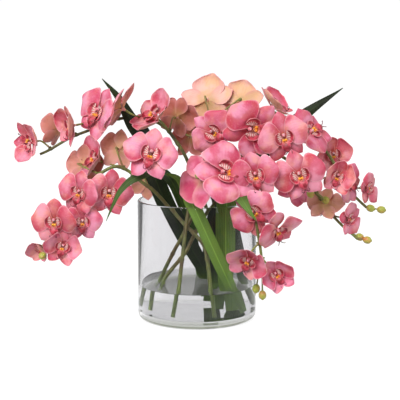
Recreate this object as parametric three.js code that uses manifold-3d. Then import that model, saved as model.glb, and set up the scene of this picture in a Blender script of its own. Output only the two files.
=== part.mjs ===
// Moth orchid sprays with strap leaves, standing in a glass cylinder vase.
// Millimetres, +Z up, origin at the centre of the vase's flat base. -Y is the front.
import * as THREE from 'three';
import { mergeVertices } from 'three/addons/utils/BufferGeometryUtils.js';
import Module from 'manifold-3d';

const wasm = await Module();
wasm.setup();

// Driving dimensions of the vase and the water
const VASE_RADIUS = 90;
const VASE_HEIGHT = 180;
const VASE_WALL = 4;
const VASE_FLOOR = 11;
const FOOT_ROUND = 8;
const INNER_ROUND = 5;
const RIM_ROUND = 1.2;
const WATER_LEVEL = 52;
const VASE_SIDES = 40;

// Driving dimensions of the plant
const STEM_RADIUS = 3;
const TIP_RADIUS = 2;
const TAPER_POWER = 1.3;
const STALK_RADIUS = 1.4;
const BUD_RADIUS = 5.6;
const BUD_STRETCH = 1.3;
const PETAL_LENGTH = 39;
const SEPAL_LENGTH = 38;
const TEPAL_THICKNESS = 1.4;
const PETAL_LEVEL = 1;
const SEPAL_LEVEL = -3;
const PETAL_LEAN = 3;
const SHUT_LEAN = 60;
const NOTCH_RADIUS = 14;
const NOTCH_ANGLES = [-28.5, 61, 119, 208.5, 270];
const LIP_WIDTH = 18;
const LIP_DEPTH = 9;
const LIP_DROP = 18;
const LIP_THICKNESS = 2;
const HUB_DEPTH = 6;
const HUB_RADIUS = 3.4;
const FRONT_HUB_RADIUS = 4.4;
const LEAF_THICKNESS = 1.5;
const GAP = 0.3;

// How a leaf narrows: its share of full width at each end, and how soon it widens
const LEAF_BASE_SHARE = 0.55;
const LEAF_BASE_RISE = 1.5;
const LEAF_TIP_SHARE = 0.06;
const LEAF_TIP_RISE = 3.8;

// Outlines of the lobes: degrees off the lobe's middle line, and reach along its length
const RIGHT_PETAL = [[-34, 0.84], [-14, 1], [12, 1.02], [34, 0.98], [49, 0.76]];
const LEFT_PETAL = RIGHT_PETAL.map(([offset, reach]) => [-offset, reach]);
const SEPAL = [[-25, 0.66], [-10, 0.95], [10, 0.95], [25, 0.66]];
const LOBES = [
  { angle: 8, outline: RIGHT_PETAL, length: PETAL_LENGTH, level: PETAL_LEVEL },
  { angle: 90, outline: SEPAL, length: SEPAL_LENGTH, level: SEPAL_LEVEL },
  { angle: 172, outline: LEFT_PETAL, length: PETAL_LENGTH, level: PETAL_LEVEL },
  { angle: 236, outline: SEPAL, length: SEPAL_LENGTH, level: SEPAL_LEVEL },
  { angle: 304, outline: SEPAL, length: SEPAL_LENGTH, level: SEPAL_LEVEL },
];

// How finely the vase's rounded edges and the plant are cut
const FOOT_STEPS = 3;
const RIM_STEPS = 1;
const INNER_STEPS = 2;
const STEM_STEP = 26;
const BUD_SIDES = 6;
const BUD_RINGS = 4;
const TUBE_SIDES = 6;
const STALK_SIDES = 4;
const STALK_STEPS = 4;
const BUD_STALK_STEPS = 2;
const LEAF_STEPS = 36;
const ROUTE_SAMPLES = 160;
const MERGE_DISTANCE = 1e-4;

// A stalk leaves its stem this far before its flower, and ends in this long a straight lead
const STALK_SET_BACK = 10;
const STALK_LEAD = 12;

// Solids from geometry
function toSolid(geometry) {
  const bare = geometry.index ? geometry.toNonIndexed() : geometry.clone();
  bare.deleteAttribute('normal');
  bare.deleteAttribute('uv');
  const merged = mergeVertices(bare, MERGE_DISTANCE);
  return new wasm.Manifold(new wasm.Mesh({
    numProp: 3,
    vertProperties: new Float32Array(merged.attributes.position.array),
    triVerts: new Uint32Array(merged.index.array),
  }));
}

function toGeometry(solid) {
  const mesh = solid.getMesh();
  const geometry = new THREE.BufferGeometry();
  geometry.setAttribute('position', new THREE.BufferAttribute(mesh.vertProperties, 3));
  geometry.setIndex(new THREE.BufferAttribute(mesh.triVerts, 1));
  geometry.computeVertexNormals();
  return geometry;
}

function join(solids) {
  return solids.reduce((whole, solid) => whole.add(solid));
}

function largestBody(solid) {
  const bodies = solid.decompose();
  return bodies.reduce((best, body) => (body.volume() > best.volume() ? body : best));
}

// The vase, turned from one closed profile
function arc(centreX, centreY, radius, from, to, steps) {
  const points = [];
  for (let i = 0; i <= steps; i += 1) {
    const angle = THREE.MathUtils.degToRad(from + (to - from) * i / steps);
    points.push(new THREE.Vector2(
      centreX + radius * Math.cos(angle),
      centreY + radius * Math.sin(angle),
    ));
  }
  return points;
}

function turned(profile) {
  const geometry = new THREE.LatheGeometry(profile, VASE_SIDES);
  geometry.rotateX(Math.PI / 2);
  return geometry;
}

function vaseSolid() {
  const inner = VASE_RADIUS - VASE_WALL;
  const rimZ = VASE_HEIGHT - RIM_ROUND;
  const profile = [
    new THREE.Vector2(0, 0),
    ...arc(VASE_RADIUS - FOOT_ROUND, FOOT_ROUND, FOOT_ROUND, -90, 0, FOOT_STEPS),
    ...arc(VASE_RADIUS - RIM_ROUND, rimZ, RIM_ROUND, 0, 90, RIM_STEPS),
    ...arc(inner + RIM_ROUND, rimZ, RIM_ROUND, 90, 180, RIM_STEPS),
    ...arc(inner - INNER_ROUND, VASE_FLOOR + INNER_ROUND, INNER_ROUND, 0, -90, INNER_STEPS),
    new THREE.Vector2(0, VASE_FLOOR),
  ];
  return toSolid(turned(profile));
}

function waterSolid(standing) {
  const radius = VASE_RADIUS - VASE_WALL - GAP;
  const floor = VASE_FLOOR + GAP;
  const profile = [
    new THREE.Vector2(0, floor),
    ...arc(radius - INNER_ROUND, floor + INNER_ROUND, INNER_ROUND, -90, 0, INNER_STEPS),
    new THREE.Vector2(radius, WATER_LEVEL),
    new THREE.Vector2(0, WATER_LEVEL),
  ];
  const whole = toSolid(turned(profile));
  return largestBody(standing.reduce((water, solid) => water.subtract(solid), whole));
}

// Stems and stalks
function route(points) {
  const vectors = points.map((p) => new THREE.Vector3(...p));
  return new THREE.CatmullRomCurve3(vectors, false, 'catmullrom');
}

function tube(curve, startRadius, endRadius, sides, steps) {
  const geometry = new THREE.CylinderGeometry(1, 1, 1, sides, steps);
  const position = geometry.attributes.position;
  const frames = curve.computeFrenetFrames(steps);
  for (let i = 0; i < position.count; i += 1) {
    const step = Math.round((position.getY(i) + 0.5) * steps);
    const along = step / steps;
    const radius = THREE.MathUtils.lerp(startRadius, endRadius, along ** TAPER_POWER);
    const point = curve.getPointAt(along)
      .addScaledVector(frames.normals[step], position.getX(i) * radius)
      .addScaledVector(frames.binormals[step], -position.getZ(i) * radius);
    position.setXYZ(i, point.x, point.y, point.z);
  }
  return toSolid(geometry);
}

// A flower faces along its own +Z, with its top sepal along +Y
function flowerMatrix(flower) {
  const turn = THREE.MathUtils.degToRad(flower.turn);
  const nod = THREE.MathUtils.degToRad(flower.nod);
  const roll = THREE.MathUtils.degToRad(flower.roll);
  const face = new THREE.Vector3(
    Math.sin(turn) * Math.cos(nod),
    -Math.cos(turn) * Math.cos(nod),
    -Math.sin(nod),
  );
  const right = new THREE.Vector3(Math.cos(turn), Math.sin(turn), 0);
  const up = new THREE.Vector3().crossVectors(face, right);
  const matrix = new THREE.Matrix4().makeBasis(right, up, face);
  matrix.multiply(new THREE.Matrix4().makeRotationZ(roll));
  matrix.scale(new THREE.Vector3(flower.size, flower.size, flower.size));
  matrix.setPosition(...flower.at);
  return matrix;
}

// Every corner of the flower's rim: degrees round the face, and reach along the lobe
function rimPoints() {
  const corners = LOBES.flatMap(({ angle, outline, length, level }) => (
    outline.map(([offset, reach]) => ({
      angle: angle + offset,
      radius: reach * length,
      level: level * reach,
    }))
  ));
  const notches = NOTCH_ANGLES.map((angle) => ({ angle, radius: NOTCH_RADIUS, level: 0 }));
  return [...corners, ...notches].sort((a, b) => a.angle - b.angle);
}

// One flower, turned like a wheel with a lobed rim: hub point, back, rim, front and lip
function flowerSolid(flower, grow = 0) {
  const rim = rimPoints();
  const half = TEPAL_THICKNESS / 2 + grow;
  const lean = THREE.MathUtils.degToRad(PETAL_LEAN + SHUT_LEAN * (1 - flower.open));
  const lipTurn = THREE.MathUtils.degToRad(flower.lip ?? 0);
  const rings = [
    { radius: 0, z: -HUB_DEPTH - grow },
    { radius: HUB_RADIUS + grow, z: -half },
    { rim: true, z: -half },
    { rim: true, z: half },
    { radius: FRONT_HUB_RADIUS + grow, z: half },
    { radius: LIP_WIDTH / 2 + grow, z: LIP_DEPTH, drop: LIP_DROP / 2 },
    { radius: 0, z: LIP_DEPTH + LIP_THICKNESS + grow, drop: LIP_DROP },
  ];
  const profile = rings.map(() => new THREE.Vector2(1, 0));
  const geometry = new THREE.LatheGeometry(profile, rim.length);
  const position = geometry.attributes.position;
  for (let i = 0; i < position.count; i += 1) {
    const corner = rim[Math.floor(i / rings.length) % rim.length];
    const ring = rings[i % rings.length];
    const angle = THREE.MathUtils.degToRad(corner.angle);
    const radius = ring.rim ? corner.radius + grow : ring.radius;
    const forward = ring.rim ? lean : 0;
    const level = ring.rim ? corner.level : 0;
    const drop = ring.drop ?? 0;
    position.setXYZ(
      i,
      radius * Math.cos(forward) * Math.cos(angle) + drop * Math.sin(lipTurn),
      radius * Math.cos(forward) * Math.sin(angle) - drop * Math.cos(lipTurn),
      radius * Math.sin(forward) + ring.z + level,
    );
  }
  return toSolid(geometry.applyMatrix4(flowerMatrix(flower)));
}

// A stalk leaves the stem below its flower and meets the flower's back
function stalkPoints(curve, flower) {
  const matrix = flowerMatrix(flower);
  const face = new THREE.Vector3().setFromMatrixColumn(matrix, 2).normalize();
  const centre = new THREE.Vector3(...flower.at);
  const end = centre.clone().addScaledVector(face, -HUB_DEPTH * flower.size - GAP);
  const lead = end.clone().addScaledVector(face, -STALK_LEAD);
  const samples = curve.getSpacedPoints(ROUTE_SAMPLES);
  let nearest = 0;
  samples.forEach((point, i) => {
    if (point.distanceTo(lead) < samples[nearest].distanceTo(lead)) nearest = i;
  });
  const back = Math.round(STALK_SET_BACK / curve.getLength() * ROUTE_SAMPLES);
  const start = samples[Math.max(nearest - back, 0)];
  return [start.toArray(), lead.toArray(), end.toArray()];
}

function bud(place, tip) {
  const geometry = new THREE.SphereGeometry(BUD_RADIUS, BUD_SIDES, BUD_RINGS);
  geometry.scale(1, BUD_STRETCH, 1);
  const along = new THREE.Vector3(...tip).sub(new THREE.Vector3(...place)).normalize();
  geometry.applyQuaternion(
    new THREE.Quaternion().setFromUnitVectors(new THREE.Vector3(0, 1, 0), along),
  );
  geometry.translate(...tip);
  return geometry;
}

function spraySolid(spray, grow = 0) {
  const curve = route(spray.points);
  const steps = Math.round(curve.getLength() / STEM_STEP);
  const pieces = [tube(curve, STEM_RADIUS + grow, TIP_RADIUS + grow, TUBE_SIDES, steps)];
  const stalkRadius = STALK_RADIUS + grow;
  spray.flowers.forEach((flower) => {
    const stalk = route(stalkPoints(curve, flower));
    pieces.push(tube(stalk, stalkRadius, stalkRadius, STALK_SIDES, STALK_STEPS));
  });
  spray.buds.forEach(([start, end]) => {
    const stalk = route([start, end]);
    pieces.push(tube(stalk, stalkRadius, stalkRadius, STALK_SIDES, BUD_STALK_STEPS));
    pieces.push(toSolid(bud(start, end)));
  });
  return join(pieces);
}

// A strap leaf: a folded band along its route, widest past the middle
function leafSolid(leaf, grow = 0) {
  const curve = route(leaf.points);
  const geometry = new THREE.BoxGeometry(2, 1, 1, 2, 1, LEAF_STEPS);
  const position = geometry.attributes.position;
  const facing = new THREE.Vector3(...leaf.facing);
  const acrossBlade = leaf.across ? new THREE.Vector3(...leaf.across) : null;
  for (let i = 0; i < position.count; i += 1) {
    const along = position.getZ(i) + 0.5;
    const across = position.getX(i);
    const tangent = curve.getTangentAt(along);
    const side = acrossBlade
      ? acrossBlade.clone().projectOnPlane(tangent).normalize()
      : new THREE.Vector3().crossVectors(facing, tangent).normalize();
    const normal = new THREE.Vector3().crossVectors(tangent, side).normalize();
    const taper = Math.min(
      1,
      LEAF_BASE_SHARE + LEAF_BASE_RISE * along,
      LEAF_TIP_SHARE + LEAF_TIP_RISE * (1 - along),
    );
    const half = leaf.width / 2 * taper + grow;
    const lift = position.getY(i) * (LEAF_THICKNESS + 2 * grow)
      + leaf.fold * half * Math.abs(across);
    const point = curve.getPointAt(along)
      .addScaledVector(side, across * half)
      .addScaledVector(normal, lift);
    position.setXYZ(i, point.x, point.y, point.z);
  }
  return toSolid(geometry);
}

// Sprays: the stem's route from its foot to its tip, and its flowers
const sprays = [
  {
    name: 'spray_left_high',
    points: [
      [62, 22, 14], [34, 16, 101], [15, 12, 163], [-5, 5, 214], [-18, 3, 246], [-32, 5, 268],
      [-48, 8, 288], [-70, 13, 299], [-100, 18, 302], [-132, 23, 297], [-160, 27, 284],
      [-193, 30, 271], [-226, 32, 252], [-241, 33, 245],
    ],
    flowers: [
      { at: [-251, 20, 265], turn: -45, nod: 0, roll: -120, size: 0.92, open: 0.7 },
      { at: [-213, 42, 282], turn: -118, nod: -5, roll: 20, size: 0.8, open: 0.7 },
      { at: [-187, 8, 291], turn: -65, nod: 5, roll: -15, size: 0.9, open: 0.7 },
      { at: [-145, 2, 310], turn: -42, nod: -15, roll: -25, size: 1.15, open: 0.82 },
      { at: [-111, -14, 318], turn: -98, nod: -30, roll: 0, size: 1.12, open: 0.85 },
      { at: [-61, -12, 305], turn: -58, nod: -40, roll: -82, size: 1.08, open: 0.72 },
      { at: [-31, 36, 302], turn: 160, nod: -5, roll: 20, size: 0.9, open: 0.8 },
    ],
    buds: [],
  },
  {
    name: 'spray_left_low',
    points: [
      [24, -60, 14], [20, -58, 51], [17, -48, 83], [11, -38, 112], [-4, -32, 130],
      [-18, -27, 142], [-32, -22, 157], [-45, -20, 174], [-64, -20, 195], [-85, -22, 211],
      [-102, -25, 226], [-120, -30, 233], [-141, -36, 224], [-156, -40, 208], [-184, -46, 170],
      [-217, -50, 132], [-230, -50, 111],
    ],
    flowers: [
      { at: [-150, -6, 240], turn: -60, nod: -20, roll: -60, size: 0.98, open: 0.7 },
      { at: [-117, -6, 256], turn: 172, nod: 10, roll: 10, size: 0.85, open: 0.8 },
      { at: [-66, -84, 256], turn: 8, nod: -18, roll: -14, size: 1.06, open: 0.95 },
      { at: [-77, 24, 205], turn: 165, nod: 30, roll: 20, size: 0.85, open: 0.85 },
      { at: [-168, -70, 200], turn: -22, nod: 2, roll: -10, size: 0.88, open: 0.82 },
      { at: [-127, -64, 199], turn: 6, nod: 0, roll: -10, size: 0.95, open: 0.8 },
      { at: [-204, -82, 160], turn: -8, nod: 6, roll: -4, size: 0.92, open: 0.88 },
      { at: [-166, -70, 158], turn: 8, nod: 8, roll: 0, size: 0.8, open: 0.8 },
      { at: [-194, -78, 123], turn: 5, nod: 6, roll: -15, size: 0.78, open: 0.76 },
      { at: [-229, -54, 116], turn: -30, nod: 30, roll: 0, size: 0.6, open: 0.45 },
      { at: [-172, 2, 232], turn: 165, nod: 8, roll: -3, size: 0.85, open: 0.85 },
    ],
    buds: [
      [[-228, -50, 113], [-224, -76, 108]],
    ],
  },
  {
    name: 'spray_top',
    points: [
      [56, 32, 14], [36, 30, 98], [26, 26, 168], [16, 18, 230], [9, 15, 272], [15, 22, 292],
      [28, 32, 302],
    ],
    flowers: [
      { at: [15, 54, 327], turn: 172, nod: 14, roll: -77, size: 1.17, open: 0.85 },
      { at: [67, 56, 325], turn: 172, nod: 12, roll: -70, size: 0.98, open: 0.85 },
      { at: [25, -34, 284], turn: -14, nod: 2, roll: 52, size: 0.97, open: 0.85 },
      { at: [8, -80, 220], turn: 147, nod: 22, roll: -40, size: 1.15, open: 0.85 },
      { at: [-10, 45, 271], turn: 160, nod: 14, roll: 0, size: 0.9, open: 0.85 },
    ],
    buds: [],
  },
  {
    name: 'spray_right_high',
    points: [
      [-33, -60, 14], [-27, -58, 51], [-20, -42, 111], [-13, -30, 162], [2, -12, 223],
      [29, -2, 277], [64, 2, 306], [109, 4, 312], [155, 4, 290], [193, 2, 254], [218, -4, 215],
      [232, -8, 192], [243, -10, 180], [255, -12, 169],
    ],
    flowers: [
      { at: [78, -64, 292], turn: 14, nod: 4, roll: -42, size: 1.2, open: 0.92, lip: 130 },
      { at: [123, -84, 282], turn: 4, nod: 8, roll: 18, size: 1, open: 0.88 },
      { at: [112, -20, 321], turn: 74, nod: -52, roll: 4, size: 0.9, open: 0.75 },
      { at: [167, -26, 283], turn: 44, nod: -35, roll: 100, size: 1, open: 0.85 },
      { at: [208, 34, 245], turn: 15, nod: 5, roll: 10, size: 0.8, open: 0.72 },
      { at: [223, -20, 206], turn: 46, nod: 0, roll: 60, size: 0.85, open: 0.8 },
      { at: [256, -8, 198], turn: 50, nod: -5, roll: -65, size: 0.68, open: 0.82 },
    ],
    buds: [
      [[252, -12, 171], [261, -13, 168]],
      [[255, -12, 169], [277, -15, 166]],
    ],
  },
  {
    name: 'spray_right_low',
    points: [
      [-65, 13, 14], [-57, 9, 51], [-36, 2, 95], [-23, -4, 119], [5, -6, 171], [35, -4, 222],
      [72, -5, 248], [112, -10, 252], [149, -16, 230], [175, -20, 197], [196, -24, 166],
      [207, -26, 154], [219, -27, 142], [230, -28, 133], [240, -30, 124],
    ],
    flowers: [
      { at: [83, -98, 229], turn: -4, nod: 6, roll: 12, size: 0.97, open: 0.85 },
      { at: [146, -88, 228], turn: 0, nod: 5, roll: 18, size: 1.04, open: 0.95 },
      { at: [203, -60, 222], turn: 8, nod: -2, roll: -20, size: 0.8, open: 0.5 },
      { at: [155, 38, 194], turn: 175, nod: 30, roll: 34, size: 0.85, open: 0.85 },
      { at: [189, -30, 179], turn: 160, nod: 34, roll: 5, size: 0.78, open: 0.85 },
      { at: [225, -32, 156], turn: 50, nod: 0, roll: -66, size: 0.7, open: 0.82 },
    ],
    buds: [
      [[162, -18, 214], [168, -34, 193]],
      [[178, -20, 194], [190, -38, 184]],
      [[230, -28, 133], [244, -24, 126]],
      [[238, -29, 126], [254, -32, 123]],
    ],
  },
  {
    name: 'spray_front',
    points: [
      [-58, -13, 14], [-52, -11, 51], [-42, -12, 68], [-18, -14, 97], [-6, -14, 120],
      [23, -17, 171], [46, -38, 205], [67, -65, 215], [80, -88, 193], [86, -98, 151],
      [91, -101, 121], [93, -102, 100],
    ],
    flowers: [
      { at: [39, -94, 229], turn: 16, nod: -28, roll: 80, size: 1.25, open: 0.87 },
      { at: [81, -98, 176], turn: -4, nod: 8, roll: 45, size: 0.95, open: 0.9 },
      { at: [112, -112, 154], turn: 30, nod: 34, roll: 22, size: 0.95, open: 0.8 },
      { at: [73, -124, 113], turn: -22, nod: 32, roll: -32, size: 0.86, open: 0.75 },
      { at: [112, -112, 89], turn: 8, nod: 5, roll: 32, size: 0.78, open: 0.6 },
    ],
    buds: [
      [[91, -101, 104], [85, -102, 65]],
      [[93, -102, 100], [94, -104, 56]],
    ],
  },
];

// Strap leaves: the route from the base to the tip, and the way the blade faces
const leaves = [
  {
    name: 'leaf_left_long',
    points: [
      [39, 38, 16], [15, 28, 55], [-23, 14, 123], [-48, 8, 173], [-68, 2, 227], [-80, 2, 272],
      [-97, 2, 296], [-117, 5, 332], [-142, 8, 361],
    ],
    facing: [0, -1, 0.1],
    width: 27,
    fold: 0.25,
  },
  {
    name: 'leaf_front',
    points: [
      [65, -40, 16], [49, -44, 56], [22, -52, 116], [-5, -54, 176], [-24, -48, 213],
      [-39, -42, 222], [-50, -36, 222],
    ],
    facing: [0, -1, 0.2],
    width: 20,
    fold: 0.3,
  },
  {
    name: 'leaf_narrow_drooping',
    points: [
      [8, 46, 25], [-8, 38, 119], [-28, 16, 184], [-44, -12, 216], [-62, -52, 231],
      [-82, -82, 225], [-97, -88, 217], [-110, -94, 203], [-119, -98, 185], [-129, -100, 162],
    ],
    facing: [0, -1, 0.3],
    width: 15,
    fold: 0.2,
  },
  {
    name: 'leaf_right_long',
    points: [
      [13, 52, 16], [23, 50, 109], [43, 46, 173], [74, 42, 220], [110, 38, 258], [162, 26, 305],
      [219, 10, 347],
    ],
    facing: [0, -1, 0.1],
    width: 26,
    fold: 0.25,
  },
  {
    name: 'leaf_over_rim',
    points: [
      [44, -22, 16], [43, -24, 105], [44, -32, 176], [50, -58, 206], [56, -84, 207],
      [62, -106, 198], [69, -119, 187], [76, -127, 177], [83, -132, 169],
    ],
    facing: [0, -1, 0.1],
    across: [-1, -0.1, -0.1],
    width: 30,
    fold: 0.2,
  },
  {
    name: 'leaf_dark_right',
    points: [
      [76, 8, 30], [66, 10, 81], [50, 8, 153], [44, 18, 200], [52, 40, 236],
    ],
    facing: [0, -1, 0],
    width: 22,
    fold: 0.2,
  },
  {
    name: 'leaf_inner',
    points: [
      [26, -8, 16], [27, -8, 70], [24, -6, 112], [26, 0, 160], [34, 8, 192],
    ],
    facing: [0, -1, 0],
    width: 18,
    fold: 0.2,
  },
];

// Colours, roughness and metalness of each kind of piece
const finishes = {
  glass: { color: 0xdfe3e4, roughness: 0.05, metalness: 0 },
  water: { color: 0xd8dcde, roughness: 0.05, metalness: 0 },
  stem: { color: 0x6b7535, roughness: 0.6, metalness: 0 },
  leaf: { color: 0x3d5c2a, roughness: 0.5, metalness: 0 },
  petal: { color: 0xe9708f, roughness: 0.6, metalness: 0 },
};

// Settled pieces keep a gap: a later piece gives way to the ones before it
const settled = [];

function settle(name, finish, solid, grown) {
  let piece = solid;
  settled.forEach((other) => {
    piece = piece.subtract(other.grown);
  });
  settled.push({ name, finish, solid: largestBody(piece), grown });
}

sprays.forEach((spray) => {
  settle(spray.name, 'stem', spraySolid(spray), spraySolid(spray, GAP));
});
leaves.forEach((leaf) => {
  settle(leaf.name, 'leaf', leafSolid(leaf), leafSolid(leaf, GAP));
});
const standing = settled.map((piece) => piece.grown);
sprays.forEach((spray) => {
  spray.flowers.forEach((flower, i) => {
    const name = `${spray.name.replace('spray', 'flower')}_${i + 1}`;
    settle(name, 'petal', flowerSolid(flower), flowerSolid(flower, GAP));
  });
});

const pieces = [
  { name: 'vase', finish: 'glass', solid: vaseSolid() },
  { name: 'water', finish: 'water', solid: waterSolid(standing) },
  ...settled,
];

const orchid = new THREE.Group();
pieces.forEach(({ name, finish, solid }) => {
  const mesh = new THREE.Mesh(
    toGeometry(solid),
    new THREE.MeshStandardMaterial(finishes[finish]),
  );
  mesh.name = name;
  orchid.add(mesh);
});

export default orchid;
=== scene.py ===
import math
import random

import bmesh
import bpy
import numpy as np
from mathutils import Matrix, Vector


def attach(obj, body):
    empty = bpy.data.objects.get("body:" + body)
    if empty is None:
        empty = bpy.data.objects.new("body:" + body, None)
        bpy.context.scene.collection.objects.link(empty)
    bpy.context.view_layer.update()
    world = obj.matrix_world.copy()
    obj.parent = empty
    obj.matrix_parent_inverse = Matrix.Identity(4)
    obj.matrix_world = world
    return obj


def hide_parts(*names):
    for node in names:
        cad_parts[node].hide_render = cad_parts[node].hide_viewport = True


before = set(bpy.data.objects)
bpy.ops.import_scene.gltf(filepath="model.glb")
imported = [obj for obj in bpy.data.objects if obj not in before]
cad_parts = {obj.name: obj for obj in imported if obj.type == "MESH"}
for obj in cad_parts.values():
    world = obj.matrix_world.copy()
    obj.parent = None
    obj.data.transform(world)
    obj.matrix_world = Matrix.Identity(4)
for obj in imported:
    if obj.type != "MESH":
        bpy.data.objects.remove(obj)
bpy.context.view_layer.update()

MM = 0.001

# ---- sizes, in millimetres
VASE_RADIUS = 90
VASE_HEIGHT = 180
VASE_WALL = 4
VASE_FLOOR = 11
FOOT_ROUND = 8
INNER_ROUND = 5
RIM_ROUND = 1.2
VASE_SIDES = 192
WATER_LEVEL = 52
WATER_LAP = 0.2
STEM_RADIUS = 3.0
TIP_RADIUS = 2.0
STALK_RADIUS = 1.4
BUD_RADIUS = 5.6
HUB_DEPTH = 6
PETAL_LEAN = 3
SHUT_LEAN = 60
STALK_SET_BACK = 10
STALK_LEAD = 12
GAP = 0.3
TOUCH = 1e-4
PETAL_THICKNESS = 0.7
LEAF_THICKNESS = 1.0
BRACT_THICKNESS = 0.5
BRACT_ROWS = 7
BRACT_LENGTH = 5.6
BRACT_DROP = 1.2
BRACT_HALF = 2.4
BRACT_OUT = 2.35
BRACT_CUP = 1.9

# Stems: how they narrow, how far apart their rings are, and where they have swollen nodes
TAPER_POWER = 1.3
STEM_STEP = 3.2
FIRST_NODE = 38
NODE_STEP = 46
NODE_SHARE = 0.55
NODE_SWELL = 0.28
NODE_RUN = 2.2

# Leaves: share of full width at each end, and how soon it widens
LEAF_STEP = 4
LEAF_BASE_SHARE = 0.55
LEAF_BASE_RISE = 1.5
LEAF_TIP_SHARE = 0.03
LEAF_TIP_RISE = 3.8

# Heights, in metres, where feet turn greener in the water and leaves get painted shade at the rim
STEM_FOOT = (0.045, 0.09)
LEAF_FOOT = (0.03, 0.075)
LEAF_SHADED_CROWN = (0.175, 0.205)

# Flowers: what counts as spread, and how far chance turns, twists, shrinks and ripples a part
SPREAD_FROM = 0.8
CUPPED_LEAN = 6
TILT_PLAY = 5
AROUND_PLAY = 3
TWIST_PLAY = 9
LIP_PLAY = 8
LEAST_SIZE = 0.95
RIPPLE_HEIGHT = 5.5
LIP_GIVE = 0.3
CURL_FROM = 6
CURL_OVER = 16

# Studio: brightness of the sky and the floor, and the shade under and beside the vase, in metres
SKY_SEEN = 1.02
SKY_LAMP = 0.22
SKY_MIRRORED = 0.2
SKY_THROUGH_GLASS = 1.6
FLOOR_SEEN = 0.98
FLOOR_SIZE = 14
FLOOR_GAP = 0.0003
GLASS_SHADE = 0.2
FLOOR_BEHIND = (-0.3, -0.12)
SKY_BEHIND = (-0.85, -0.2)
FOOT_SHADE, FOOT_EDGE = 0.5, (0.076, 0.09)
NEAR_SHADE, NEAR_EDGE = 0.35, (0.088, 0.12)
KEY_WAY = (-0.41, -0.66, 0.63)


# ---- hand tools
def let_go():
    """Nothing is selected, so the next tool acts only on what it is given."""
    bpy.ops.object.select_all(action="DESELECT")


def take(piece):
    """One piece alone is selected, and the next tool acts on it."""
    let_go()
    piece.select_set(True)
    bpy.context.view_layer.objects.active = piece


def just_made(name):
    """The piece that was just added, named, with its placement in its mesh."""
    piece = bpy.context.object
    piece.name = name
    bpy.ops.object.transform_apply(location=True, rotation=True, scale=True)
    return piece


def open_mesh(piece):
    """Edit mode on one piece, with none of it selected."""
    take(piece)
    bpy.ops.object.mode_set(mode="EDIT")
    bpy.ops.mesh.select_all(action="DESELECT")


def close_mesh():
    bpy.ops.object.mode_set(mode="OBJECT")


def pick_points(piece, numbers):
    """Selects points by their number in the mesh."""
    mesh = bmesh.from_edit_mesh(piece.data)
    mesh.verts.ensure_lookup_table()
    bpy.ops.mesh.select_all(action="DESELECT")
    for number in numbers:
        mesh.verts[number].select = True
    mesh.select_flush(True)
    bmesh.update_edit_mesh(piece.data, loop_triangles=False, destructive=False)


def pick(piece, kind, test):
    """Selects the edges or faces that pass a test."""
    bpy.ops.mesh.select_mode(type=kind)
    bpy.ops.mesh.select_all(action="DESELECT")
    mesh = bmesh.from_edit_mesh(piece.data)
    for part in mesh.edges if kind == "EDGE" else mesh.faces:
        if test(part):
            part.select = True
    mesh.select_flush(True)
    bmesh.update_edit_mesh(piece.data)


def turn(rotation, centre):
    """Turns what is selected. With no window the tool turns the other way, hence the minus."""
    for axis, angle in zip("XYZ", rotation.to_euler("XYZ")):
        if abs(angle) > TOUCH / 10:
            bpy.ops.transform.rotate(value=-angle, orient_axis=axis, orient_type="GLOBAL",
                                     center_override=centre)


def modify(piece, kind, **settings):
    """Adds a modifier, sets it and applies it."""
    take(piece)
    modifier = piece.modifiers.new(kind.lower(), kind)
    for key, value in settings.items():
        setattr(modifier, key, value)
    bpy.ops.object.modifier_apply(modifier=modifier.name)


def smooth(piece, degrees=50):
    take(piece)
    bpy.ops.object.shade_smooth_by_angle(angle=math.radians(degrees))


def face_outwards(piece):
    open_mesh(piece)
    bpy.ops.mesh.select_all(action="SELECT")
    bpy.ops.mesh.normals_make_consistent(inside=False)
    close_mesh()


def join(name, pieces):
    let_go()
    for piece in pieces:
        piece.select_set(True)
    bpy.context.view_layer.objects.active = pieces[0]
    bpy.ops.object.join()
    whole = bpy.context.object
    whole.name = name
    whole.data.name = name
    return whole


def copy_of(pattern, matrix):
    """A copy of a modelled piece with its own mesh, put in its place."""
    piece = pattern.copy()
    piece.data = pattern.data.copy()
    bpy.context.scene.collection.objects.link(piece)
    piece.data.transform(matrix)
    return piece


def paint_points(piece, name, value):
    """A number, or one for each point, kept on a piece's points for its finish to read."""
    layer = piece.data.attributes.new(name, "FLOAT", "POINT")
    values = np.broadcast_to(np.array(value, np.float32), len(piece.data.vertices))
    layer.data.foreach_set("value", np.ascontiguousarray(values))


# ---- lines and sections
def spline(points, share):
    """A smooth line through the points, at a share of their count."""
    points = [Vector(point) for point in points]
    place = min(max(share, 0), 1) * (len(points) - 1)
    first = min(int(place), len(points) - 2)
    t = place - first
    b, c = points[first], points[first + 1]
    a = points[first - 1] if first > 0 else 2 * b - c
    d = points[first + 2] if first + 2 < len(points) else 2 * c - b
    return b + 0.5 * t * ((c - a) + t * ((2 * a - 5 * b + 4 * c - d) + t * (3 * (b - c) + d - a)))


def route(points, count):
    """Places at even distances on a smooth line through the points, and the way it runs there."""
    fine = [spline(points, i / 400) for i in range(401)]
    runs = np.cumsum([0] + [(b - a).length for a, b in zip(fine, fine[1:])])
    wanted = np.linspace(0, runs[-1], count)
    columns = [np.interp(wanted, runs, [p[axis] for p in fine]) for axis in range(3)]
    places = [Vector(p) for p in zip(*columns)]
    ways = [(places[min(i + 1, count - 1)] - places[max(i - 1, 0)]).normalized()
            for i in range(count)]
    return places, ways, float(runs[-1])


def profile(table, value):
    """The smooth height of a table of (place, height) pairs."""
    table = np.array(table, float)
    share = float(np.interp(value, table[:, 0], np.linspace(0, 1, len(table))))
    return spline([(h, 0, 0) for h in table[:, 1]], share).x


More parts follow.
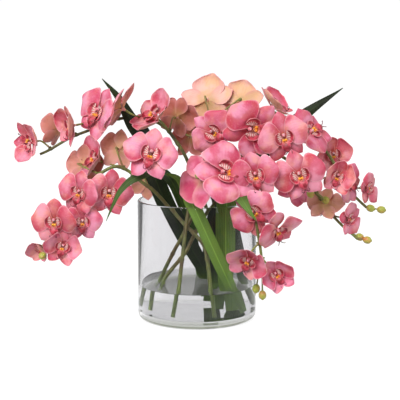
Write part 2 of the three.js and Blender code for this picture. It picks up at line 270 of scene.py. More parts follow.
def tube(name, places, ways, radii, sides):
    """A stem drawn out of a disc, one ring after another. Sizes in millimetres."""
    let_go()
    bpy.ops.mesh.primitive_circle_add(vertices=sides, radius=radii[0] * MM, fill_type="NGON",
                                      location=places[0] * MM,
                                      rotation=ways[0].to_track_quat("Z", "Y").to_euler())
    piece = just_made(name)
    bpy.ops.object.mode_set(mode="EDIT")
    bpy.ops.mesh.select_all(action="SELECT")
    for i in range(1, len(places)):
        step = (places[i] - places[i - 1]) * MM
        bpy.ops.mesh.extrude_region_move(TRANSFORM_OT_translate={"value": step})
        turn(ways[i - 1].rotation_difference(ways[i]), places[i] * MM)
        grow = radii[i] / radii[i - 1]
        if abs(grow - 1) > TOUCH:
            bpy.ops.transform.resize(value=(grow, grow, grow), center_override=places[i] * MM)
    bpy.ops.mesh.select_all(action="SELECT")
    bpy.ops.mesh.normals_make_consistent(inside=False)
    close_mesh()
    smooth(piece)
    age = [1 - (vertex.index // sides) / (len(places) - 1) for vertex in piece.data.vertices]
    paint_points(piece, "age", age)
    return piece


def tube_along(name, line, radii, sides, material):
    """A tube in one finish along a line, with a ring for each radius."""
    places, ways, _ = route(line, len(radii))
    piece = tube(name, places, ways, radii, sides)
    piece.data.materials.append(material)
    return piece


def blade(name, columns, stations, ridge):
    """A sheet shaped row by row. A station is (middle, frame, half width, bulge, cup)."""
    rows = len(stations)
    let_go()
    bpy.ops.mesh.primitive_grid_add(x_subdivisions=columns, y_subdivisions=rows - 1, size=2)
    piece = bpy.context.object
    piece.name = name
    open_mesh(piece)
    across = columns + 1
    for column in range(across):
        share = 2 * column / columns - 1
        pick_points(piece, range(column, rows * across, across))
        bpy.ops.transform.translate(value=(0, -share ** 2, ridge(share)))
    for row, (middle, way, width, bulge, cup) in enumerate(stations):
        foot = Vector((0, 2 * row / (rows - 1) - 1, 0))
        pick_points(piece, range(row * across, (row + 1) * across))
        bpy.ops.transform.resize(value=(width * MM, bulge * MM, cup * MM), center_override=foot)
        turn(way, foot)
        bpy.ops.transform.translate(value=middle * MM - foot)
    close_mesh()
    return piece


# ---- shader maths
class Value:
    """A number on its way through a finish, so that shader maths reads as maths."""

    def __init__(self, finish, socket):
        self.finish = finish
        self.socket = socket

    def maths(self, operation, *others):
        values = dict(enumerate([self, *others]))
        return self.finish.node("Math", {"operation": operation}, values)

    def __add__(self, other):
        return self.maths("ADD", other)

    def __sub__(self, other):
        return self.maths("SUBTRACT", other)

    def __rsub__(self, other):
        return self.finish.node("Math", {"operation": "SUBTRACT"}, {0: other, 1: self})

    def __mul__(self, other):
        return self.maths("MULTIPLY", other)

    def __pow__(self, other):
        return self.maths("POWER", other)

    __radd__ = __add__
    __rmul__ = __mul__

    def between(self, low, high):
        """0 at low and 1 at high, smoothly, and no further."""
        settings = {"interpolation_type": "SMOOTHSTEP"}
        values = {"Value": self, "From Min": low, "From Max": high}
        return self.finish.node("MapRange", settings, values)

    def least(self, other):
        return self.maths("MINIMUM", other)

    def most(self, other):
        return self.maths("MAXIMUM", other)

    def sine(self):
        return self.maths("SINE")


class Finish:
    """One material: its shader, and what feeds it."""

    def __init__(self, name, world=None, **constants):
        self.material = world or bpy.data.materials.new(name)
        self.material.use_nodes = True
        self.tree = self.material.node_tree
        self.shader = self.tree.nodes["Background" if world else "Principled BSDF"]
        for key, value in constants.items():
            self.shader.inputs[key.replace("_", " ")].default_value = value

    def node(self, kind, settings=None, values=None, output=0):
        made = self.tree.nodes.new("ShaderNode" + kind)
        for key, value in (settings or {}).items():
            setattr(made, key, value)
        for key, value in (values or {}).items():
            socket = made.inputs[key]
            if isinstance(value, Value):
                self.tree.links.new(value.socket, socket)
            elif isinstance(value, tuple) and len(value) == 3 and socket.type == "RGBA":
                socket.default_value = (*value, 1)
            else:
                socket.default_value = value
        return Value(self, made.outputs[output])

    def feed(self, name, value):
        self.tree.links.new(value.socket, self.shader.inputs[name])

    def mix(self, factor, first, second, blend="MIX"):
        settings = {"data_type": "RGBA", "blend_type": blend, "clamp_factor": True}
        return self.node("Mix", settings, {0: factor, 6: first, 7: second}, 2)

    def place(self):
        return self.node("TexCoord", output="Object")

    def noise(self, scale, detail=2.0, rough=0.5, at=None):
        values = {"Vector": at or self.place(), "Scale": scale, "Detail": detail,
                  "Roughness": rough}
        return self.node("TexNoise", {}, values)

    def axes(self, vector):
        return [self.node("SeparateXYZ", {}, {0: vector}, axis) for axis in range(3)]

    def across_and_along(self):
        u, v, _ = self.axes(self.node("UVMap", {"uv_map": "UVMap"}))
        return u, v

    def painted(self, name):
        return self.node("Attribute", {"attribute_name": name}, {}, "Fac")

    def ray(self, what):
        return self.node("LightPath", output=what)

    def bump(self, height, strength, distance):
        values = {"Height": height, "Strength": strength, "Distance": distance}
        self.feed("Normal", self.node("Bump", {}, values))

    def done(self, base, roughness, *bump):
        """Feeds colour, roughness and bump, and gives the finished material."""
        self.feed("Base Color", base)
        self.feed("Roughness", roughness)
        self.bump(*bump)
        return self.material


def veins(finish, u, v, count):
    """Fine veins that fan from the foot of a lobe to its rim, here and there faint."""
    sway = finish.noise(60, 2) - 0.5
    wave = ((u + sway * 0.035) * (count * 2 * math.pi)).sine() * 0.5 + 0.5
    faint = finish.noise(90, 2).between(0.35, 0.65)
    return wave ** 4 * faint * v.between(0, 0.1) * (1 - v.between(0.7, 0.98))


def petal_face():
    finish = Finish("petal_pink", Subsurface_Weight=0.08, Subsurface_Scale=0.003,
                    Subsurface_Radius=(1.0, 0.3, 0.3),
                    Sheen_Weight=0.1, Sheen_Roughness=0.4, IOR=1.4)
    u, v = finish.across_and_along()
    blush = finish.painted("blush")
    cloud = finish.noise(34, 3)
    other = finish.noise(52, 3, 0.5, finish.node("VectorMath", {"operation": "ADD"},
                                                 {0: finish.place(), 1: (3.1, 1.7, 0.4)}))
    fine = finish.noise(420, 3, 0.6)
    side = u.least(1 - u)
    rim = 1 - side.least((1 - v) * 0.8).between(0.0, 0.07)
    # Lighter in random clouds, and towards the middle of each lobe, where the lighter tone is a
    # painted highlight
    middle = side.between(0.05, 0.4) * v.between(0.2, 0.5) * (1 - v.between(0.6, 0.95))
    light = (cloud.between(0.40, 0.62) * 0.8 + middle * 0.3).least(1)
    pink = finish.mix(light, (0.56, 0.05, 0.12), (0.80, 0.29, 0.44))
    salmon = finish.mix(light, (0.56, 0.06, 0.065), (0.84, 0.36, 0.29))
    salmon = finish.mix(blush.between(0.6, 1.0) * 0.6, salmon, (0.92, 0.55, 0.42))
    base = finish.mix((blush * 0.7 + other.between(0.46, 0.64) * 0.5).least(1), pink, salmon)
    lines = veins(finish, u, v, 12)
    base = finish.mix(lines * 0.14, base, (0.50, 0.03, 0.09))
    throat = 1 - v.between(0.0, 0.3)
    warm = finish.mix(blush, (0.50, 0.03, 0.06), (0.75, 0.32, 0.14))
    base = finish.mix(throat * 0.7, base, warm)
    base = finish.mix(rim * 0.6, base, (0.86, 0.42, 0.47))
    base = finish.mix(fine.between(0.5, 0.8) * 0.22, base, (0.88, 0.50, 0.58))
    return finish.done(base, 0.40 + fine * 0.2,
                       lines * 0.5 + fine * 0.3 + cloud * 0.5, 0.3, 0.0006)


def petal_back():
    finish = Finish("petal_back", Subsurface_Weight=0.08, Subsurface_Scale=0.003,
                    Subsurface_Radius=(1.0, 0.4, 0.3),
                    Sheen_Weight=0.08, IOR=1.4)
    u, v = finish.across_and_along()
    darkness = finish.painted("darkness")
    cloud = finish.noise(34, 3)
    fine = finish.noise(380, 3, 0.6)
    side = u.least(1 - u)
    patch = cloud.between(0.40, 0.60)
    pale = finish.mix(patch, (0.80, 0.50, 0.28), (0.82, 0.50, 0.40))
    brown = finish.mix(patch, (0.42, 0.10, 0.08), (0.60, 0.20, 0.15))
    rose = finish.mix(patch, (0.54, 0.05, 0.13), (0.74, 0.20, 0.33))
    blush = finish.painted("blush")
    base = finish.mix(darkness, pale, finish.mix(blush.between(0.0, 0.5), rose, brown))
    rim = 1 - side.least((1 - v) * 0.8).between(0.0, 0.3)
    base = finish.mix(rim * 0.45, base, (0.80, 0.34, 0.36))
    lines = veins(finish, u, v, 9)
    base = finish.mix(lines * 0.12, base, (0.45, 0.16, 0.10))
    base = finish.mix((1 - v.between(0.0, 0.38)) * 0.45, base, (0.55, 0.38, 0.08))
    return finish.done(base, 0.46 + fine * 0.22,
                       lines * 0.8 + fine * 0.3 + cloud * 0.4, 0.4, 0.0007)


def lip_red(finish, cloud):
    return finish.mix(cloud.between(0.42, 0.60), (0.26, 0.006, 0.02), (0.58, 0.05, 0.09))


def lip_finish():
    """The middle lobe: a pale striped foot that turns crimson."""
    finish = Finish("lip_crimson", Coat_Weight=0.12, Coat_Roughness=0.3)
    u, v = finish.across_and_along()
    cloud = finish.noise(140, 3)
    fine = finish.noise(600, 2, 0.6)
    lines = ((u + (cloud - 0.5) * 0.08) * 50).sine() * 0.5 + 0.5
    throat = finish.mix(lines.between(0.3, 0.7), (0.84, 0.50, 0.22), (0.55, 0.02, 0.04))
    base = finish.mix(v.between(0.16, 0.4), throat, lip_red(finish, cloud))
    side = u.least(1 - u)
    base = finish.mix((1 - side.between(0, 0.1)) * 0.55, base, (0.80, 0.20, 0.26))
    return finish.done(base, 0.34 + fine * 0.2, lines * 0.5 + fine * 0.4, 0.4, 0.0005)


def lip_side_finish():
    """The side lobes: near white inside with red bars, crimson to the front."""
    finish = Finish("lip_side_lobe", Coat_Weight=0.1, Coat_Roughness=0.3)
    u, v = finish.across_and_along()
    cloud = finish.noise(140, 3)
    fine = finish.noise(600, 2, 0.6)
    bars = ((v + (cloud - 0.5) * 0.12) * 44).sine() * 0.5 + 0.5
    pale = finish.mix(bars.between(0.5, 0.85), (0.84, 0.62, 0.56), (0.62, 0.06, 0.10))
    base = finish.mix(u.between(0.3, 0.62), pale, lip_red(finish, cloud))
    base = finish.mix(u.between(0.84, 1.0) * 0.7, base, (0.84, 0.30, 0.34))
    return finish.done(base, 0.34 + fine * 0.2, bars * 0.5 + fine * 0.4, 0.4, 0.0005)


def column_finish():
    finish = Finish("column_white", Subsurface_Weight=0.2, Subsurface_Scale=0.003)
    cloud = finish.noise(160, 3)
    spots = finish.noise(520, 2)
    base = finish.mix(cloud.between(0.36, 0.56), (0.74, 0.50, 0.48), (0.70, 0.22, 0.28))
    base = finish.mix(spots.between(0.6, 0.66) * 0.8, base, (0.40, 0.015, 0.06))
    return finish.done(base, 0.32 + cloud * 0.2, spots, 0.25, 0.0004)


def callus_finish():
    finish = Finish("callus_yellow", Subsurface_Weight=0.15, Subsurface_Scale=0.002)
    cloud = finish.noise(420, 3)
    base = finish.mix(cloud.between(0.4, 0.6), (0.95, 0.52, 0.05), (0.82, 0.22, 0.03))
    return finish.done(base, 0.3 + cloud * 0.25, cloud, 0.4, 0.0004)


def tendril_finish():
    finish = Finish("tendril_dark")
    cloud = finish.noise(300, 2)
    base = finish.mix(cloud.between(0.4, 0.65), (0.10, 0.02, 0.035), (0.30, 0.03, 0.06))
    return finish.done(base, 0.35 + cloud * 0.25, cloud, 0.3, 0.0003)


def stem_finish(name, light, dark, bark):
    """Stems are ringed and streaked, with brown bark on the older stretches."""
    finish = Finish(name, Coat_Weight=0.06, Coat_Roughness=0.4)
    place = finish.place()
    long_place = finish.node("VectorMath", {"operation": "MULTIPLY"},
                             {0: place, 1: (1.0, 1.0, 0.22)})
    streak = finish.noise(420, 3, 0.6, long_place)
    patch = finish.noise(42, 3)
    speck = finish.noise(900, 2)
    base = finish.mix(streak.between(0.35, 0.65), dark, light)
    age = finish.painted("age")
    worn = ((patch.between(0.4, 0.62) + age * 0.7 - 0.45).most(0) * 0.8).least(1)
    base = finish.mix(worn, base, bark)
    height = finish.axes(place)[2]
    base = finish.mix((1 - height.between(*STEM_FOOT)) * 0.8, base, (0.17, 0.26, 0.05))
    base = finish.mix(speck.between(0.66, 0.74) * 0.5, base, (0.05, 0.03, 0.015))
    return finish.done(base, 0.38 + streak * 0.3, streak + speck * 0.4, 0.45, 0.0005)


def bud_finish():
    finish = Finish("bud_green", Subsurface_Weight=0.1, Subsurface_Scale=0.003)
    cloud = finish.noise(110, 3)
    fine = finish.noise(500, 2)
    base = finish.mix(cloud.between(0.38, 0.62), (0.36, 0.40, 0.06), (0.50, 0.36, 0.08))
    base = finish.mix(cloud.between(0.58, 0.72) * 0.8, base, (0.55, 0.12, 0.05))
    return finish.done(base, 0.34 + fine * 0.2, fine + cloud, 0.35, 0.0005)


def leaf_finish(name, light, dark, night, crown_shade=0.0):
    """Strap leaves: parallel grooves, near-black old patches, and painted shade over the rim."""
    finish = Finish(name, IOR=1.36, Subsurface_Weight=0.03, Subsurface_Scale=0.002)
    u, v = finish.across_and_along()
    patch = finish.noise(16, 3)
    fine = finish.noise(300, 3, 0.6)
    grooves = ((u + (fine - 0.5) * 0.012) * 75).sine() * 0.5 + 0.5
    broad = finish.noise(9, 2, 0.5, finish.node(
        "CombineXYZ", {}, {"X": u * 2.2, "Y": v * 0.6, "Z": 0.3}))
    base = finish.mix(grooves * 0.55 + broad * 0.35, dark, light)
    base = finish.mix(patch.between(0.42, 0.62) * night, base, (0.012, 0.016, 0.008))
    middle = 1 - (u - 0.5).maths("ABSOLUTE").between(0.0, 0.05)
    base = finish.mix(middle * 0.4, base, tuple(part * 1.7 for part in light))
    height = finish.axes(finish.place())[2]
    base = finish.mix((1 - height.between(*LEAF_FOOT)) * 0.8, base, (0.13, 0.24, 0.035))
    # Darker where the leaf comes over the rim under the flowers: painted shade
    base = finish.mix(height.between(*LEAF_SHADED_CROWN) * crown_shade, base, (0.04, 0.085, 0.014))
    return finish.done(base, 0.32 + fine * 0.22, grooves + fine * 0.3 + middle, 0.5, 0.0006)


def glass_finish():
    """Clear glass, grey-green at the foot. A low IOR keeps the grey lines at its edges narrow."""
    finish = Finish("vase_glass", Roughness=0.0, IOR=1.3, Transmission_Weight=1.0)
    height = finish.axes(finish.place())[2]
    base = finish.mix(height.between(0.002, 0.014), (0.34, 0.37, 0.28), (0.93, 0.925, 0.94))
    finish.feed("Base Color", base)
    finish.bump(finish.noise(14, 2), 0.03, 0.0008)
    return finish.material


def water_finish():
    finish = Finish("vase_water", Roughness=0.0, IOR=1.333, Transmission_Weight=1.0,
                    Base_Color=(0.985, 0.99, 0.985, 1))
    finish.bump(finish.noise(22, 2), 0.04, 0.001)
    return finish.material


def kinds_of_ray(finish, behind):
    """1 before a diffuse bounce, and 1 unless the place is mirrored and isn't behind the vase."""
    direct = (1 - finish.ray("Diffuse Depth")).most(0)
    return direct, (1 - finish.ray("Glossy Depth")).most(behind)


def floor_finish():
    """White to the eye, no lamp for the plants, dim where its front part is mirrored, and darker
    under the vase and through its glass."""
    finish = Finish("studio_floor", Emission_Strength=1.0, IOR=1.1)
    cloud = finish.noise(3, 2)
    place = finish.place()
    direct, seen = kinds_of_ray(finish, finish.axes(place)[1].between(*FLOOR_BEHIND))
    foot = finish.node("VectorMath", {"operation": "LENGTH"}, {0: place}, "Value")
    shade = (1 - foot.between(*FOOT_EDGE)) * FOOT_SHADE
    near = (1 - foot.between(*NEAR_EDGE)) * NEAR_SHADE
    clear = 1 - finish.ray("Is Transmission Ray") * (near + GLASS_SHADE)
    glow = direct * seen.most(SKY_MIRRORED) * clear * (1 - shade) * FLOOR_SEEN
    pale = finish.mix(cloud, (0.42, 0.42, 0.42), (0.45, 0.45, 0.45))
    finish.feed("Base Color", finish.mix(direct, pale, (0.10, 0.10, 0.10)))
    finish.feed("Emission Color", finish.mix(glow, (0, 0, 0), (1, 1, 1)))
    finish.feed("Roughness", 0.65 + cloud * 0.1)
    return finish.material


# ---- vase and water
def faces_up(face):
    return face.normal.z > 0.9


def vase():
    let_go()
    bpy.ops.mesh.primitive_cylinder_add(vertices=VASE_SIDES, radius=VASE_RADIUS * MM,
                                        depth=VASE_HEIGHT * MM,
                                        location=(0, 0, VASE_HEIGHT / 2 * MM))
    piece = just_made("vase_of_clear_glass")
    open_mesh(piece)
    pick(piece, "FACE", faces_up)
    bpy.ops.mesh.inset(thickness=VASE_WALL * MM)
    drop = (VASE_FLOOR - VASE_HEIGHT) * MM
    bpy.ops.mesh.extrude_region_move(TRANSFORM_OT_translate={"value": (0, 0, drop)})
    inner = (VASE_RADIUS - VASE_WALL) * MM

    def ring(height, radius):
        return lambda edge: all(
            abs(p.co.z - height) < TOUCH and abs(p.co.to_2d().length - radius) < TOUCH
            for p in edge.verts)

    for height, radius, size, segments in [
            (0, VASE_RADIUS * MM, FOOT_ROUND, 10),
            (VASE_HEIGHT * MM, VASE_RADIUS * MM, RIM_ROUND, 4),
            (VASE_HEIGHT * MM, inner, RIM_ROUND, 4),
            (VASE_FLOOR * MM, inner, INNER_ROUND, 8)]:
        pick(piece, "EDGE", ring(height, radius))
        bpy.ops.mesh.bevel(offset=size * MM, segments=segments, affect="EDGES")
    close_mesh()
    smooth(piece, 40)
    piece.data.materials.append(glass_finish())
    return piece


def water():
    let_go()
    radius = (VASE_RADIUS - VASE_WALL + WATER_LAP) * MM
    floor = (VASE_FLOOR - WATER_LAP) * MM
    depth = WATER_LEVEL * MM - floor
    bpy.ops.mesh.primitive_cylinder_add(vertices=VASE_SIDES, radius=radius, depth=depth,
                                        location=(0, 0, floor + depth / 2))
    piece = just_made("water_in_vase")
    open_mesh(piece)
    pick(piece, "FACE", faces_up)
    for inset, sink in [(0.5, -0.5), (0.9, -0.45), (1.6, -0.3), (3, -0.15)]:
        bpy.ops.mesh.inset(thickness=inset * MM)
        bpy.ops.transform.translate(value=(0, 0, sink * MM))
    pick(piece, "EDGE", lambda edge: all(abs(p.co.z - floor) < TOUCH
                                         and p.co.to_2d().length > 0.9 * radius
                                         for p in edge.verts))
    bpy.ops.mesh.bevel(offset=(INNER_ROUND + WATER_LAP) * MM, segments=8, affect="EDGES")
    close_mesh()
    smooth(piece, 60)
    piece.data.materials.append(water_finish())
    return piece


# ---- the lobes of a flower
# Half width and bulge of a lobe at each height over the flower's middle
PETAL_WIDTH = [(2.5, 2.4), (4.5, 4.2), (7, 8.2), (9.5, 12.6), (12, 16.4), (15, 19.8), (18, 22),
               (21, 23.2), (24, 23.4), (27, 22.6), (30, 20.8), (33, 18), (35.5, 14.8),
               (37.8, 10.6), (39.6, 5.6)]
PETAL_BULGE = [(2.5, 0), (12, 0.3), (18, 0.6), (24, 1.2), (30, 2.4), (35.5, 3.4), (39.6, 2.4)]
SEPAL_WIDTH = [(2.5, 2.4), (6, 5), (10, 8.2), (14, 10.8), (18, 12.4), (22, 13), (26, 12.6),
               (30, 11), (33.5, 8.4), (36.4, 5), (38.4, 1.4)]
SEPAL_BULGE = [(2.5, 0), (20, 0.3), (30, 1.4), (38.4, 0.8)]

# Cup and rise of a lobe that is spread flat, and of one that is still half shut
SPREAD = {
    "petal": ([(2.5, 1.5), (8, 1.5), (14, -1), (22, -4), (30, -4.6), (39.6, -1.6)],
              [(2.5, 0.4), (8, 2.4), (16, 4.6), (24, 4.8), (32, 3), (39.6, -0.5)]),
    "sepal": ([(2.5, 1.0), (10, 0.2), (20, -2.2), (30, -2), (38.4, -0.3)],
              [(2.5, 0.0), (10, 1.6), (20, 2.6), (30, 1.4), (38.4, -1.8)]),
}
CUPPED = {
    "petal": ([(2.5, 1.5), (8, 2.4), (14, 3.4), (22, 5.4), (30, 5.4), (39.6, 1.6)],
              [(2.5, 0.4), (8, 0.4), (16, 0.4), (24, 2.2), (32, 5.4), (39.6, 9.5)]),
    "sepal": ([(2.5, 1.0), (10, 1.4), (20, 2.6), (30, 2.2), (38.4, 0.4)],
              [(2.5, 0.0), (10, 0.2), (20, 1.6), (30, 4.4), (38.4, 7.6)]),
}


def lobe(name, columns, rows, tables, skew, finishes):
    """A petal or sepal that lies along +Y and faces +Z."""
    width, bulge, (cup, rise) = tables
    first, last = width[0][0], width[-1][0]
    stations = []
    for row in range(rows):
        share = row / (rows - 1)
        height = first + (last - first) * (1 - (1 - share) ** 1.25)
        shift = skew * math.sin(math.pi * min(height / last, 1))
        middle = Vector((shift, height, profile(rise, height)))
        stations.append((middle, Matrix.Identity(3), profile(width, height),
                         profile(bulge, height), profile(cup, height)))
    piece = blade(name, columns, stations,
                  lambda share: share ** 2 + 0.12 * math.exp(-(share * 7) ** 2))
    for material in finishes:
        piece.data.materials.append(material)
    modify(piece, "SOLIDIFY", thickness=PETAL_THICKNESS * MM, offset=-1, use_rim=True,
           material_offset=1, material_offset_rim=0, use_even_offset=True)
    smooth(piece, 60)
    hold(piece)
    return piece


def hold(piece):
    """Only the outer part of a lobe is free to curl."""
    take(piece)
    group = piece.vertex_groups.new(name="free")
    for vertex in piece.data.vertices:
        reach = vertex.co.to_2d().length / MM
        free = min(max((reach - CURL_FROM) / CURL_OVER, 0), 1)
        group.add([vertex.index], free, "REPLACE")


def lip_blade(name, columns, line, half, cup, funnel):
    """A lobe of the lip. Funnel is None for the middle one, or how far a side lobe flares."""
    places, ways, _ = route(line, 15)
    stations = []
    for i, (place, way) in enumerate(zip(places, ways)):
        share = i / (len(places) - 1)
        if funnel is None:
            side = Vector((-1, 0, 0))
        else:
            out = Vector((place.x, place.y + 1, 0)).normalized()
            side = out * funnel + Vector((0, 0, 1))
            side = (side - way * side.dot(way)).normalized()
        frame_of_row = Matrix((side, way, side.cross(way))).transposed()
        stations.append((place, frame_of_row, profile(half, share), 0.6, profile(cup, share)))
    return blade(name, columns, stations, lambda share: share ** 2)


def rounded(name, place, radius, stretch):
    """A small swelling, drawn out of a ball and nipped at its front."""
    let_go()
    middle = Vector(place) * MM
    bpy.ops.mesh.primitive_uv_sphere_add(segments=14, ring_count=9, radius=radius * MM,
                                         location=middle)
    piece = just_made(name)
    open_mesh(piece)
    bpy.ops.mesh.select_all(action="SELECT")
    bpy.ops.transform.resize(value=stretch, center_override=middle)
    pick(piece, "FACE", lambda face: face.normal.z > 0.6)
    bpy.ops.transform.resize(value=(0.7, 0.7, 1), center_override=middle)
    close_mesh()
    smooth(piece, 80)
    return piece


def lip_parts(red, pale_side, white, yellow, dark, back):
    """Middle lobe, two side lobes, column, callus and tendrils, as one small set."""
    middle = lip_blade(
        "lip_middle", 12,
        [(0, -3, 2.5), (0, -6.5, 7), (0, -10.5, 11), (0, -15, 12.5), (0, -19, 11), (0, -22, 8)],
        [(0, 3), (0.2, 4), (0.4, 5.8), (0.56, 6.6), (0.76, 5), (0.92, 2.6), (1, 1)],
        [(0, 1.6), (0.3, 1.8), (0.55, -2.2), (0.8, -1.8), (1, -0.3)], None)
    right = lip_blade(
        "lip_side", 10,
        [(1.6, -5.4, 3), (5.4, -6.8, 4.4), (8.4, -4.6, 5.8), (9.6, 0.4, 7), (9, 5.6, 8),
         (6.6, 9.4, 8.8)],
        [(0, 2.2), (0.25, 4.6), (0.55, 5.8), (0.8, 5), (1, 2.2)],
        [(0, 0.8), (0.5, 1.8), (1, 0.8)], 1.7)
    left = copy_of(right, Matrix.Scale(-1, 4, (1, 0, 0)))
    face_outwards(right)
    face_outwards(left)
    for part, finish in [(middle, red), (right, pale_side), (left, pale_side)]:
        part.data.materials.append(finish)
        modify(part, "SOLIDIFY", thickness=PETAL_THICKNESS * MM, offset=0, use_rim=True)
        smooth(part, 60)
    line = [(0, 1.4, -0.6), (0, 2.4, 3.2), (0, 3.4, 6.2), (0, 3.2, 8.2), (0, 2, 9.4)]
    radii = [2.1, 2.1, 2.2, 2.3, 2.5, 2.6, 2.6, 2.4, 1.8, 0.9]
    parts = [middle, right, left, tube_along("column", line, radii, 14, white)]
    # A dark lump under the column's tip: its cavity's dark spot, with painted shade in the cavity
    shaded_hollow = rounded("shaded_hollow", (0, 0.9, 7.2), 1.4, (0.95, 0.8, 1.2))
    shaded_hollow.data.materials.append(dark)
    parts.append(shaded_hollow)
    for hand in (1, -1):
        bump = rounded("callus", (1.8 * hand, -4.4, 6.6), 2.1, (0.9, 0.85, 1.5))
        bump.data.materials.append(yellow)
        line = [(0.5 * hand, -21.4, 8.4), (2.6 * hand, -23.4, 10.4), (4.8 * hand, -22.8, 13.6),
                (5.6 * hand, -20.2, 15.8), (4.6 * hand, -18.4, 15.4)]
        radii = [0.7 - 0.035 * i for i in range(11)]
        parts += [bump, tube_along("tendril", line, radii, 6, dark)]
    line = [(0, 0, -HUB_DEPTH - 0.2), (0, 0, -3.5), (0, 0, -0.4)]
    parts.append(tube_along("hub", line, [1.35, 1.5, 1.9, 2.5, 3.1, 3.4], 12, back))
    for part in parts:
        group = part.vertex_groups.new(name="free")
        give = LIP_GIVE if part in (middle, right, left) else 0.0
        group.add(list(range(len(part.data.vertices))), give, "REPLACE")
    return parts


def flower_matrix(at, turned, nod, roll, size):
    """Where a flower stands: +Z is its face and +Y its top sepal."""
    turned, nod, roll = (math.radians(a) for a in (turned, nod, roll))
    face = Vector((math.sin(turned) * math.cos(nod), -math.cos(turned) * math.cos(nod),
                   -math.sin(nod)))
    right = Vector((math.cos(turned), math.sin(turned), 0))
    up = face.cross(right)
    basis = Matrix((right, up, face)).transposed().to_4x4()
    return (Matrix.Translation(Vector(at) * MM) @ basis @ Matrix.Rotation(roll, 4, "Z")
            @ Matrix.Scale(size, 4))


RIPPLE = bpy.data.textures.new("ripple", "CLOUDS")
RIPPLE.cloud_type = "COLOR"
RIPPLE.noise_scale = 0.028
RIPPLE.noise_depth = 1

# Kind of lobe, degrees round the face, level in millimetres, and its share of the flower's lean
LOBES = [("sepal", 90, -1.6, 0.8), ("sepal", 236, -1.8, 0.9), ("sepal", 304, -1.4, 0.9),
         ("petal_right", 8, 0.9, 1.0), ("petal_left", 172, 1.2, 1.0)]


def flower(name, patterns, at, turned, nod, roll, size, opened, blush, darkness,
           lip_turn=0):
    """One flower: five lobes and a lip, copied, opened and set in place."""
    dice = random.Random(name)
    form = "spread" if opened >= SPREAD_FROM else "cupped"
    lean = PETAL_LEAN + SHUT_LEAN * (1 - opened) - (CUPPED_LEAN if form == "cupped" else 0)
    matrix = flower_matrix(at, turned, nod, roll, size)
    pieces = []
    for kind, angle, level, ease in LOBES:
        tilt = math.radians(lean * ease + dice.uniform(-TILT_PLAY, TILT_PLAY))
        around = math.radians(angle - 90 + dice.uniform(-AROUND_PLAY, AROUND_PLAY))
        twist = math.radians(dice.uniform(-TWIST_PLAY, TWIST_PLAY))
        grow = dice.uniform(LEAST_SIZE, 1.0)
        local = (Matrix.Translation((0, 0, level * MM)) @ Matrix.Rotation(around, 4, "Z")
                 @ Matrix.Rotation(tilt, 4, "X") @ Matrix.Rotation(twist, 4, "Y")
                 @ Matrix.Scale(grow, 4))
        pieces.append(copy_of(patterns[form, kind], matrix @ local))
    lip_angle = math.radians(lip_turn + dice.uniform(-LIP_PLAY, LIP_PLAY))
    lip_matrix = matrix @ Matrix.Rotation(lip_angle, 4, "Z")
    for part in patterns["lip"]:
        pieces.append(copy_of(part, lip_matrix))
    whole = join(name, pieces)
    paint_points(whole, "blush", blush)
    paint_points(whole, "darkness", darkness)
    modify(whole, "DISPLACE", texture=RIPPLE, direction="RGB_TO_XYZ", space="LOCAL",
           texture_coords="LOCAL", strength=RIPPLE_HEIGHT * MM * size, vertex_group="free")
    return whole


# ---- stems, stalks and buds
def stalk_line(places, length, at, turned, nod, roll, size):
    """A stalk leaves the stem below its flower and meets the flower's back."""
    face = flower_matrix(at, turned, nod, roll, size).to_3x3().col[2].normalized()
    end = Vector(at) - face * (HUB_DEPTH * size + GAP)
    lead = end - face * STALK_LEAD
    nearest = min(range(len(places)), key=lambda i: (places[i] - lead).length)
    back = round(STALK_SET_BACK / length * (len(places) - 1))
    start = max(nearest - back, 0)
    return [places[start], lead, end], start


def stem_radii(count, joints, length):
    """A stem narrows to its tip and swells at its joints."""
    radii = []
    for i in range(count):
        share = i / (count - 1)
        radius = STEM_RADIUS + (TIP_RADIUS - STEM_RADIUS) * share ** TAPER_POWER
        near = min(abs(share * length - joint) for joint in joints)
        radii.append(radius * (1 + NODE_SWELL * math.exp(-(near / NODE_RUN) ** 2)))
    return radii


def bract(place, way, out, material):
    """A small pointed sheath that clasps a joint."""
    side = out.cross(way).normalized()
    out = way.cross(side)
    rows = []
    for share in np.linspace(0, 1, BRACT_ROWS):
        half = BRACT_HALF * (1 - share ** 2.4) + 0.2
        middle = (place + way * (BRACT_LENGTH * share - BRACT_DROP)
                  + out * (BRACT_OUT + 0.35 * share ** 2))
        rows.append((middle, Matrix((side, way, side.cross(way))).transposed(), half, 0.2,
                     -BRACT_CUP * (1 - 0.8 * share)))
    piece = blade("bract", 6, rows, lambda share: share ** 2)
    piece.data.materials.append(material)
    modify(piece, "SOLIDIFY", thickness=BRACT_THICKNESS * MM, offset=0)
    smooth(piece, 60)
    return piece


def bud(start, tip, material):
    """A plump closed bud with three seams."""
    way = (Vector(tip) - Vector(start)).normalized()
    let_go()
    bpy.ops.mesh.primitive_uv_sphere_add(segments=24, ring_count=14, radius=BUD_RADIUS * MM)
    piece = bpy.context.object
    piece.name = "bud"
    open_mesh(piece)
    bpy.ops.mesh.select_all(action="SELECT")
    bpy.ops.transform.resize(value=(1, 1, 1.25), center_override=(0, 0, 0))
    for step in range(3):
        angle = math.radians(120 * step)
        seam = Vector((math.cos(angle), math.sin(angle)))
        flat = [v.co.to_2d() for v in bmesh.from_edit_mesh(piece.data).verts]
        pick_points(piece, [number for number, p in enumerate(flat)
                            if p.length > TOUCH / 10 and p.normalized().dot(seam) > 0.985])
        bpy.ops.transform.translate(value=seam.to_3d() * -0.5 * MM)
    pick(piece, "FACE", lambda face: face.calc_center_median().z > BUD_RADIUS * 0.9 * MM)
    bpy.ops.transform.resize(value=(0.75, 0.75, 1.1), center_override=(0, 0, BUD_RADIUS * MM))
    close_mesh()
    smooth(piece, 80)
    piece.data.transform(way.to_track_quat("Z", "Y").to_matrix().to_4x4())
    piece.data.transform(Matrix.Translation(Vector(tip) * MM))
    piece.data.materials.append(material)
    return piece


